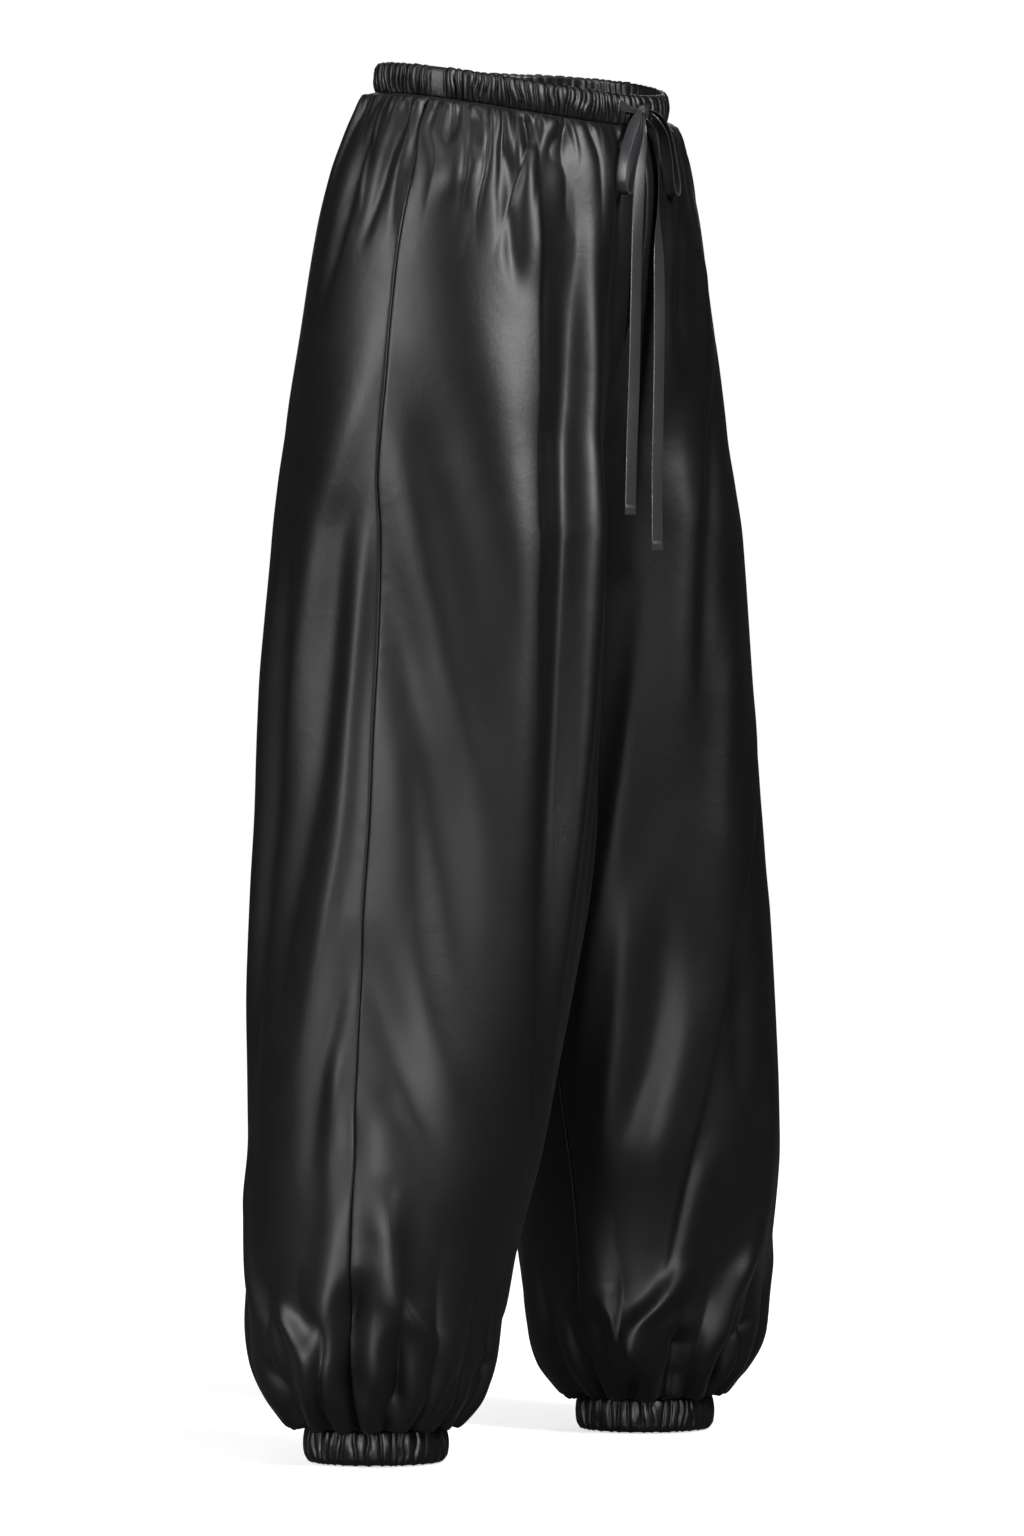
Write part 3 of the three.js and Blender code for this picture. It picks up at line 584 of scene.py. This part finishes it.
def grid_piece(name, points, flip=False, round_columns=False, round_rows=False, caps=False):
    """A mesh from a grid of points in millimetres: a face between each four neighbours, with
    the last row or column joined to the first where the grid goes round."""
    rows, columns = points.shape[:2]
    uv = cloth_uv(points)
    index = np.arange(rows * columns).reshape(rows, columns)
    if round_rows:
        index = np.concatenate([index, index[:1]])
    if round_columns:
        index = np.concatenate([index, index[:, :1]], axis=1)
    quads = np.stack([index[:-1, :-1], index[:-1, 1:], index[1:, 1:], index[1:, :-1]], axis=-1)
    quads = quads.reshape(-1, 4)
    if flip:
        quads = quads[:, ::-1]
    faces = quads.tolist()
    if caps:
        first = index[0, :columns].tolist()
        last = index[rows - 1, :columns].tolist()
        faces += [first if flip else first[::-1], last[::-1] if flip else last]
    mesh = bpy.data.meshes.new(name)
    mesh.from_pydata((points.reshape(-1, 3) * MM).tolist(), [], faces)
    layer = mesh.uv_layers.new(name="cloth")
    corner = np.empty(len(mesh.loops), dtype=np.int64)
    mesh.loops.foreach_get("vertex_index", corner)
    layer.data.foreach_set("uv", uv.reshape(-1, 2)[corner].ravel().astype(np.float32))
    mesh.polygons.foreach_set("use_smooth", np.ones(len(mesh.polygons), dtype=bool))
    mesh.update()
    piece = bpy.data.objects.new(name, mesh)
    bpy.context.scene.collection.objects.link(piece)
    return piece


def dress(piece, node, slot):
    """Rides the piece on the part, puts it in its CAD node's place and gives it its finish."""
    piece.data.materials.append(finish_of(slot))
    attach(piece, BODY)
    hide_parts(node)
    return piece


# Materials

def linear(hex_value):
    """An sRGB hex colour as linear red, green, blue and alpha."""
    srgb = np.array([int(hex_value[k:k + 2], 16) for k in (0, 2, 4)]) / 255
    values = np.where(srgb <= 0.04045, srgb / 12.92, ((srgb + 0.055) / 1.055) ** 2.4)
    return (*values.tolist(), 1.0)


def add_node(tree, kind, settings=(), values=(), links=()):
    """A node of that kind, with its settings, its sockets' values, and its links given as
    (its input, other node, other's output)."""
    node = tree.nodes.new(kind)
    for name, value in dict(settings).items():
        setattr(node, name, value)
    for name, value in dict(values).items():
        node.inputs[name].default_value = value
    for name, other, output in links:
        tree.links.new(other.outputs[output], node.inputs[name])
    return node


def empty_tree(owner):
    """The owner's node tree, with nothing in it."""
    owner.use_nodes = True
    owner.node_tree.nodes.clear()
    return owner.node_tree


def camera_sees(tree, seen, others, camera, output):
    """Ends a tree with one shader for the camera and another for all other rays."""
    mixed = add_node(tree, "ShaderNodeMixShader", {}, {}, [("Fac", seen, "Is Camera Ray")])
    tree.links.new(others.outputs[0], mixed.inputs[1])
    tree.links.new(camera.outputs[0], mixed.inputs[2])
    add_node(tree, output, {}, {}, [("Surface", mixed, "Shader")])


def satin_material(name, colour, roughness, weave_mm, crumple, sheen):
    """Polyester satin, woven with long floats on its face: a deep black with a broad soft
    gloss, a faint cross weave, and slight crumples that break up the gloss."""
    material = bpy.data.materials.new(name)
    tree = empty_tree(material)
    base = linear(colour)
    place = add_node(tree, "ShaderNodeUVMap", {"uv_map": "cloth"})
    soft = add_node(tree, "ShaderNodeTexNoise", {"noise_dimensions": "3D"},
                    {"Scale": 26.0, "Detail": 3.0, "Roughness": 0.55}, [("Vector", place, "UV")])
    tone = add_node(tree, "ShaderNodeMix", {"data_type": "RGBA"}, {}, [("Factor", soft, "Fac")])
    tone.inputs["A"].default_value = tuple(0.86 * c for c in base[:3]) + (1.0,)
    tone.inputs["B"].default_value = tuple(1.14 * c for c in base[:3]) + (1.0,)
    rough = add_node(tree, "ShaderNodeMapRange", {},
                     {"To Min": roughness - 0.04, "To Max": roughness + 0.04},
                     [("Value", soft, "Fac")])
    # Floats of the weave, drawn coarser than the real 0.1 mm threads so that they show
    weave_scale = 1.0 / (weave_mm * MM)
    stretch = add_node(tree, "ShaderNodeMapping", {},
                       {"Scale": (weave_scale, weave_scale * 0.22, 1.0)},
                       [("Vector", place, "UV")])
    threads = add_node(tree, "ShaderNodeTexNoise", {"noise_dimensions": "2D"},
                       {"Scale": 1.0, "Detail": 1.0}, [("Vector", stretch, "Vector")])
    ripple = add_node(tree, "ShaderNodeTexNoise", {"noise_dimensions": "2D"},
                      {"Scale": 70.0, "Detail": 2.0, "Roughness": 0.5, "Distortion": 0.6},
                      [("Vector", place, "UV")])
    weave = add_node(tree, "ShaderNodeBump", {}, {"Strength": 0.5, "Distance": 0.0001},
                     [("Height", threads, "Fac")])
    bump = add_node(tree, "ShaderNodeBump", {}, {"Strength": 0.5, "Distance": crumple * MM},
                    [("Height", ripple, "Fac"), ("Normal", weave, "Normal")])
    shader = add_node(tree, "ShaderNodeBsdfPrincipled", {},
                      {"IOR": 1.5, "Metallic": 0.0, "Sheen Weight": sheen, "Sheen Roughness": 0.4},
                      [("Base Color", tone, "Result"), ("Roughness", rough, "Result"),
                       ("Normal", bump, "Normal")])
    add_node(tree, "ShaderNodeOutputMaterial", {}, {}, [("Surface", shader, "BSDF")])
    return material


def floor_material(colour):
    """Matt white studio paper: plain and pale. Its glow is for the camera only, and grows with
    the distance from the middle until the paper is as white as the room."""
    material = bpy.data.materials.new("white_studio_paper")
    tree = empty_tree(material)
    place = add_node(tree, "ShaderNodeTexCoord")
    far = add_node(tree, "ShaderNodeVectorMath", {"operation": "LENGTH"}, {},
                   [("Vector", place, "Object")])
    glow = add_node(tree, "ShaderNodeMapRange", {},
                    {"From Min": 0.4, "From Max": 3.0, "To Min": 0.42, "To Max": 1.0},
                    [("Value", far, "Value")])
    seen = add_node(tree, "ShaderNodeLightPath")
    shown = add_node(tree, "ShaderNodeMath", {"operation": "MULTIPLY"})
    tree.links.new(glow.outputs["Result"], shown.inputs[0])
    tree.links.new(seen.outputs["Is Camera Ray"], shown.inputs[1])
    paper = add_node(tree, "ShaderNodeBsdfPrincipled", {},
                     {"Base Color": linear(colour), "Roughness": 0.9, "Specular IOR Level": 0.1,
                      "Emission Color": (1.0, 1.0, 1.0, 1.0)},
                     [("Emission Strength", shown, "Value")])
    bounce = add_node(tree, "ShaderNodeBsdfDiffuse", {}, {"Color": (0.1, 0.1, 0.1, 1.0)})
    camera_sees(tree, seen, bounce, paper, "ShaderNodeOutputMaterial")
    return material


# A row for each slot: its material's name, the colour it takes, how far its roughness is from
# the satin's, and its weave and crumples in millimetres
FINISH_ROWS = {
    "satin": ("polyester_satin_woven", "satin", 0.0, 0.5, 0.3),
    "satin_casing": ("polyester_satin_gathered", "satin", -0.08, 0.5, 0.2),
    # The ribbon takes its paler colour, which is painted sheen on black satin
    "satin_ribbon": ("satin_ribbon_painted_sheen", "ribbon", -0.14, 0.4, 0.05),
}
SHEEN = 0.02
FINISHES = {}


def finish_of(slot):
    """The satin of a slot, made the first time it is asked for."""
    if slot not in FINISHES:
        colours = bpy.context.scene.satin_colours
        name, colour, glossier, weave_mm, crumple = FINISH_ROWS[slot]
        FINISHES[slot] = satin_material(
            name, getattr(colours, colour), colours.gloss + glossier, weave_mm, crumple, SHEEN)
    return FINISHES[slot]


# Pieces

def leg_panel(panel, sizes):
    """One cut piece of a leg, as thin cloth turned in at its seams."""
    points = panel_surface(panel, sizes)
    piece = grid_piece(f"satin_{panel['name']}", points, flip=panel["side"] * panel["face"] < 0)
    wall = piece.modifiers.new("cloth thickness", "SOLIDIFY")
    wall.thickness = sizes.cloth
    wall.offset = -1
    dress(piece, panel["name"], "satin")
    return piece


def puff_pattern(turns, count, rng):
    """Puffs of uneven width round a ring: each place's puff and how far it is from its top."""
    starts = uneven_starts(count, 0.6, 1.4, rng)
    return ridge_at(np.interp(turns % 1.0, starts, np.arange(count + 1)), count)


# Rows of points up a casing's outer face and down its inner one
OUTER_ROWS, INNER_ROWS = 15, 9
CASING_WALL = 3.0
# How broad a puff's top is against its valley, and its least height as a share of the greatest
PUFF_POWER, PUFF_LEAST = 3.2, 0.55
# The second, lower set of puffs: how many for each of the first, and its greatest height
SECOND_SHARE, SECOND_MOST = 0.62, 0.25
# How far the inner face's own ripple and the edges' draw go, and the rounding of the top
RIPPLE, EDGE_DRAW, ROUND_TOP = 0.9, 0.9, 1.1


def casing_surface(steps, gathers, seed, wide, deep, low, high, puff, place_of, flat=None):
    """A gathered elastic casing: a closed profile carried round an oval. The profile climbs the
    outer face, rolls over the top and comes down inside. The outer face puffs out between
    valleys that wander sideways with height, and is drawn in along its lower and upper edge.
    A flat place is a share of the turn and its half width."""
    rng = np.random.default_rng(seed)
    turns = (np.arange(steps) / steps)[None, :]
    # Share of the way up the outer face, then over and down the inner face
    rise = np.concatenate([np.linspace(0, 1, OUTER_ROWS), np.linspace(1, 0, INNER_ROWS)])[:, None]
    is_outer = np.concatenate([np.ones(OUTER_ROWS), np.zeros(INNER_ROWS)])[:, None]
    bend = (0.18 * waves(turns * 9, rng, 3, 1.0) * np.sin(math.pi * 2 * rise)
            + 0.5 * waves(turns * 6, rng, 3, 1.0) * (rise - 0.5)) / gathers
    ridge, across = puff_pattern(turns + bend, gathers, rng)
    tall = rng.uniform(PUFF_LEAST, 1.0, gathers)[ridge]
    fewer = int(gathers * SECOND_SHARE)
    second, across_second = puff_pattern(turns - bend * 1.7 + 0.013, fewer, rng)
    tall_second = rng.uniform(0.0, SECOND_MOST, fewer)[second]
    shape = tall * (1 - across**PUFF_POWER) + tall_second * (1 - across_second**2)
    if flat is not None:
        gap = np.abs((turns - flat[0] + 0.5) % 1.0 - 0.5)
        gathered = ease(gap / flat[1] - 0.6)
        shape = shape * gathered + 0.5 * (1 - gathered)
    belly = np.sin(math.pi * np.clip(rise * 0.94 + 0.03, 0, 1)) ** 0.6
    out = is_outer * (puff * shape * (0.35 + 0.65 * belly) + EDGE_DRAW * belly - EDGE_DRAW)
    inner_ripple = RIPPLE * (1 - across**2) * belly
    out = out - (1 - is_outer) * (CASING_WALL - 0.4 - inner_ripple)
    level = low + (high - low) * rise
    crest = (shape - 0.6) * 1.1 * ease((rise - 0.7) / 0.3)
    foot = -0.5 * (1 - across) * ease((0.12 - rise) / 0.12)
    # The top edge is rounded over between the two faces
    round_top = ROUND_TOP * np.sqrt(np.clip((rise - 0.9) / 0.1, 0, 1))
    out = out - is_outer * round_top + (1 - is_outer) * round_top * 0.3
    level = level + crest + foot
    angle = -2 * math.pi * turns
    return place_of(wide + out, deep + out, angle, level)


def casing_piece(name, points, flip):
    """A casing's grid as a dressed piece."""
    piece = grid_piece(f"satin_{name}", points, flip, round_columns=True, round_rows=True)
    dress(piece, name, "satin_casing")
    return piece


# The waistband's lower and upper edge about the waist's curve, the height of its puffs, and
# where its elastic is joined: a share of the turn and its half width
BAND_EDGES, BAND_PUFF, ELASTIC_JOIN = (-12.0, 11.0), 3.8, (0.4925, 0.010)
CUFF_TALL, CUFF_PUFF = 25.4, 3.4
# The buttonholes in the waistband, in millimetres: their width, their half height about the lead
# and how far they sink into the band
HOLE_WIDE, HOLE_TALL, HOLE_DEEP = 0.9, 6, 1.6


def waistband_piece(sizes):
    """The waistband: a gathered casing that follows the waist's own curve, with a flat place
    where its elastic is joined at the right side seam and a buttonhole each side of the bow."""

    def place_of(wide, deep, angle, level):
        x = wide * np.cos(angle)
        y = deep * np.sin(angle)
        holes = np.zeros_like(x)
        for hole, _ in LEADS.values():
            near = np.exp(-((x - hole) / HOLE_WIDE) ** 2) * (y < 0)
            holes = holes + near * ease((HOLE_TALL - np.abs(level - LEAD_RISE)) / 2)
        y = y + HOLE_DEEP * holes
        return np.stack([x, y, rim_lift(x, y) + level], axis=-1)

    points = casing_surface(960, sizes.band_gathers, 5, BAND_WIDE, BAND_DEEP, *BAND_EDGES,
                            BAND_PUFF, place_of, flat=ELASTIC_JOIN)
    return casing_piece("waistband", points, False)


def cuff_piece(side, sizes):
    """An ankle cuff: a gathered casing, round and level."""
    centre_y = CUFF_BACK - side * STRIDE_REACH
    name = "cuff_right" if side < 0 else "cuff_left"

    def place_of(wide, deep, angle, level):
        x = side * CUFF_OUT + wide * np.cos(angle)
        y = centre_y + deep * np.sin(angle)
        return np.stack([x, y, level], axis=-1)

    top = -LOW - SEAM
    points = casing_surface(600, sizes.cuff_gathers, 70 + side, CUFF_RADIUS, CUFF_RADIUS,
                            top, top - CUFF_TALL, CUFF_PUFF, place_of)
    return casing_piece(name, points, True)


def smooth_route(rows, step):
    """A smooth curve through the points, its own turns included: each stretch is a cubic whose
    slope at a point runs between the point's neighbours, sampled evenly."""
    table = np.array(rows, float)
    at = from_start(step_lengths(table[:, :3]))
    slopes = np.gradient(table, at, axis=0)
    s = np.linspace(0, at[-1], max(int(at[-1] / step), 4))
    row = np.clip(np.searchsorted(at, s, side="right") - 1, 0, len(at) - 2)
    stretch = (at[row + 1] - at[row])[:, None]
    t = ((s - at[row]) / stretch[:, 0])[:, None]
    values = cubic(t, stretch, table[row], table[row + 1], slopes[row], slopes[row + 1])
    return values[:, :3], values[:, 3]


RIBBON_PINCH, RIBBON_SPREAD, HEM = 0.4, 24.0, 7.0


def ribbon_surface(centres, turns, sizes, pinched, upright=False, hem=False):
    """A flat ribbon: a thin lens-shaped section with raised selvedges carried along the route,
    turned by its own turn and pinched towards the knot. A hem thickens a free end."""
    at = from_start(step_lengths(centres))
    whole = at[-1]
    along = np.gradient(centres, at, axis=0)
    along /= np.linalg.norm(along, axis=1, keepdims=True)
    swing = np.radians(turns)
    across = np.stack([np.cos(swing), -np.sin(swing), np.zeros_like(swing)], axis=-1)
    if upright:
        across = np.zeros_like(centres) + np.array([0.0, 0.0, 1.0])
    across = across - along * (across * along).sum(axis=1, keepdims=True)
    across /= np.linalg.norm(across, axis=1, keepdims=True)
    face = np.cross(across, along)
    start = at if pinched[0] else np.full_like(at, whole)
    end = whole - at if pinched[1] else np.full_like(at, whole)
    opened = ease(np.minimum(start, end) / RIBBON_SPREAD)
    half = sizes.ribbon / MM / 2 * (RIBBON_PINCH + (1 - RIBBON_PINCH) * opened)
    thick = np.full_like(at, sizes.ribbon_cloth / MM / 2)
    if hem:
        thick = thick * (1 + 1.6 * ease((at - whole + HEM) / 0.7))
    u = np.concatenate([np.linspace(-1, 1, 15), np.linspace(1, -1, 15)])
    top = np.concatenate([np.ones(15), -np.ones(15)])
    selvedge = 1 + 0.5 * np.exp(-(((np.abs(u) - 0.93) / 0.05) ** 2))
    edge = np.sqrt(np.clip(1 - np.abs(u) ** 14, 0, 1))
    crinkle = (1 - opened)[:, None] * 0.5 * np.cos(math.pi * 3 * u)[None, :]
    cup = 0.25 * (u**2 - 0.4)[None, :] * opened[:, None]
    lift = thick[:, None] * (top * edge * selvedge)[None, :] + crinkle + cup
    return (centres[:, None, :] + across[:, None, :] * (half[:, None] * u[None, :])[..., None]
            + face[:, None, :] * lift[..., None])


def ribbon_piece(node, rows, sizes, pinched, upright=False, hem=False):
    """One stretch of the ribbon, as its own piece."""
    centres, turns = smooth_route(rows, 1.2)
    points = ribbon_surface(centres, turns, sizes, pinched, upright, hem)
    piece = grid_piece(f"ribbon_{node}", points, round_columns=True, caps=True)
    dress(piece, node, "satin_ribbon")
    return piece, centres * MM


def free_ribbon(node, rows, sizes, pinched, hem=False):
    """A stretch that hangs free, as its own piece."""
    piece, route = ribbon_piece(node, rows, sizes, pinched, hem=hem)
    return piece


def lead_rows(name):
    """The ribbon's way from its buttonhole, along the waistband, forward to the knot."""
    place, side = LEADS[name]
    off = 1.7 + 0.5 + SEAM
    reach = KNOT["x"] + side * (KNOT["wide"] + 0.5)
    rows = []
    for step in range(4):
        t = step / 3
        x = place + (reach - place) * t
        angle = math.acos(x / (BAND_WIDE + off))
        y = -(BAND_DEEP + off) * math.sin(angle)
        z = rim_lift(x, y) + LEAD_RISE * (1 - t) - LEAD_DIP * t
        rows.append([x, y - LEAD_FORWARD * t * t, z, 0.0])
    return rows


def knot_piece():
    """The knot: a small rounded lump whose folds run together at both ends, with the turn of
    ribbon that wraps it standing out round its middle."""
    u = np.linspace(0, 2 * math.pi, 64, endpoint=False)[None, :]
    v = np.linspace(0.02, math.pi - 0.02, 40)[:, None]
    # One round the middle, where the wrap lies, and none at both ends
    wrap = np.exp(-(((v - math.pi / 2) / 0.62) ** 6))
    end_folds = 0.07 * np.cos(5 * u + 2 * v) * (1 - wrap)
    wrap_folds = 0.05 * wrap * np.cos(6 * v + 0.8 * np.sin(u))
    r = 0.86 + 0.14 * wrap + end_folds + wrap_folds
    x = KNOT["x"] - KNOT["wide"] * r * np.cos(v)
    y = KNOT["y"] - KNOT["deep"] * r * np.sin(v) * np.cos(u)
    z = KNOT["z"] + KNOT["tall"] * r * np.sin(v) * np.sin(u) + 0.8 * np.cos(v)
    points = np.stack([np.broadcast_to(x, r.shape), y, z], axis=-1)
    piece = grid_piece("ribbon_knot", points, round_columns=True, caps=True)
    return dress(piece, "drawstring_knot", "satin_ribbon")


# Operators

class PANTS_OT_stage(bpy.types.Operator):
    """Set up the floor, the soft studio lights and the camera"""

    bl_idname = "pants.stage"
    bl_label = "Studio stage"

    def execute(self, context):
        scene = context.scene
        azimuth = math.radians(CAMERA_AZIMUTH)
        back = Vector((math.sin(azimuth), -math.cos(azimuth), 0.0))
        right = Vector((math.cos(azimuth), math.sin(azimuth), 0.0))
        camera = bpy.data.objects.new("camera", bpy.data.cameras.new("camera"))
        camera.data.sensor_width = 36.0
        camera.data.lens = FOCAL_PIXELS / FRAME_HIGH * camera.data.sensor_width
        camera.data.clip_end = 60.0
        camera.location = back * CAMERA_DISTANCE + Vector((0, 0, CAMERA_Z))
        look = -back - right * (AIM_LEFT / FOCAL_PIXELS) - Vector((0, 0, AIM_DOWN / FOCAL_PIXELS))
        camera.rotation_mode = "QUATERNION"
        camera.rotation_quaternion = look.to_track_quat("-Z", "Y")
        scene.collection.objects.link(camera)
        scene.camera = camera

        for name, towards, sideways, up, wide, tall, power, aim, spread in LIGHTS:
            place = back * towards + right * sideways + Vector((0, 0, up))
            lamp = bpy.data.lights.new(name, "AREA")
            lamp.shape = "RECTANGLE"
            lamp.size = wide
            lamp.size_y = tall
            lamp.energy = power
            lamp.spread = math.radians(spread)
            holder = bpy.data.objects.new(name, lamp)
            holder.location = place
            holder.rotation_mode = "QUATERNION"
            holder.rotation_quaternion = (Vector((0, 0, aim)) - place).to_track_quat("-Z", "Y")
            scene.collection.objects.link(holder)

        world = bpy.data.worlds.new("studio")
        tree = empty_tree(world)
        seen = add_node(tree, "ShaderNodeLightPath")
        room, paper = (
            add_node(tree, "ShaderNodeBackground", {}, {"Color": (1, 1, 1, 1), "Strength": power})
            for power in (ROOM_LIGHT, 1.0))
        camera_sees(tree, seen, room, paper, "ShaderNodeOutputWorld")
        scene.world = world
        scene.view_settings.view_transform = "Standard"

        turn = np.linspace(0, 2 * math.pi, 96, endpoint=False)[None, :]
        reach = np.array([0.01, 1.0, 4.0, 14.0])[:, None] / MM
        ground = np.stack([reach * np.cos(turn), reach * np.sin(turn),
                           np.full((4, 96), FLOOR_Z / MM)], axis=-1)
        floor = grid_piece("studio_floor", ground, flip=True, round_columns=True)
        floor.data.materials.append(floor_material(scene.satin_colours.floor))
        return {"FINISHED"}


class PANTS_OT_ribbon(bpy.types.Operator):
    """Lay the ribbon drawstring: both leads, the knot, two loops and two tails"""

    bl_idname = "pants.ribbon"
    bl_label = "Ribbon bow"

    def execute(self, context):
        sizes = context.scene.satin_sizes
        free_ribbon("tail_right", TAIL_RIGHT, sizes, (True, False), hem=True)
        free_ribbon("tail_left", TAIL_LEFT, sizes, (True, False), hem=True)
        free_ribbon("loop_right", LOOP_RIGHT, sizes, (True, True))
        free_ribbon("loop_left", LOOP_LEFT, sizes, (True, True))
        for name in LEADS:
            ribbon_piece(name, lead_rows(name), sizes, (False, True), upright=True)
        knot_piece()
        return {"FINISHED"}


class PANTS_OT_legs(bpy.types.Operator):
    """Drape the four cut pieces of the legs"""

    bl_idname = "pants.legs"
    bl_label = "Leg panels"

    def execute(self, context):
        for panel in PANELS:
            leg_panel(panel, context.scene.satin_sizes)
        return {"FINISHED"}


class PANTS_OT_waistband(bpy.types.Operator):
    """Gather the waistband over its elastic"""

    bl_idname = "pants.waistband"
    bl_label = "Waistband"

    def execute(self, context):
        waistband_piece(context.scene.satin_sizes)
        return {"FINISHED"}


class PANTS_OT_cuffs(bpy.types.Operator):
    """Gather both ankle cuffs over their elastic"""

    bl_idname = "pants.cuffs"
    bl_label = "Ankle cuffs"

    def execute(self, context):
        for side in (-1, 1):
            cuff_piece(side, context.scene.satin_sizes)
        return {"FINISHED"}


STEPS = (PANTS_OT_stage, PANTS_OT_ribbon, PANTS_OT_legs, PANTS_OT_waistband, PANTS_OT_cuffs)


class PANTS_PT_sidebar(bpy.types.Panel):
    """Lists the steps and the sizes that a user would change"""

    bl_idname = "PANTS_PT_sidebar"
    bl_label = "Balloon pants"
    bl_space_type = "VIEW_3D"
    bl_region_type = "UI"
    bl_category = "Balloon pants"

    def draw(self, context):
        for group in (context.scene.satin_sizes, context.scene.satin_colours):
            for name in type(group).__annotations__:
                self.layout.prop(group, name)
        for step in STEPS:
            self.layout.operator(step.bl_idname)


CLASSES = (SatinSizes, SatinColours, *STEPS, PANTS_PT_sidebar)


def register():
    """Registers every class and hangs both groups of settings on the scene."""
    for cls in CLASSES:
        bpy.utils.register_class(cls)
    bpy.types.Scene.satin_sizes = PointerProperty(type=SatinSizes)
    bpy.types.Scene.satin_colours = PointerProperty(type=SatinColours)


def unregister():
    """Takes both groups and every class away again."""
    del bpy.types.Scene.satin_sizes
    del bpy.types.Scene.satin_colours
    for cls in reversed(CLASSES):
        bpy.utils.unregister_class(cls)


def main():
    register()
    bpy.ops.pants.stage()
    bpy.ops.pants.ribbon()
    bpy.ops.pants.legs()
    bpy.ops.pants.waistband()
    bpy.ops.pants.cuffs()
    bpy.context.view_layer.update()


if __name__ == "__main__":
    main()
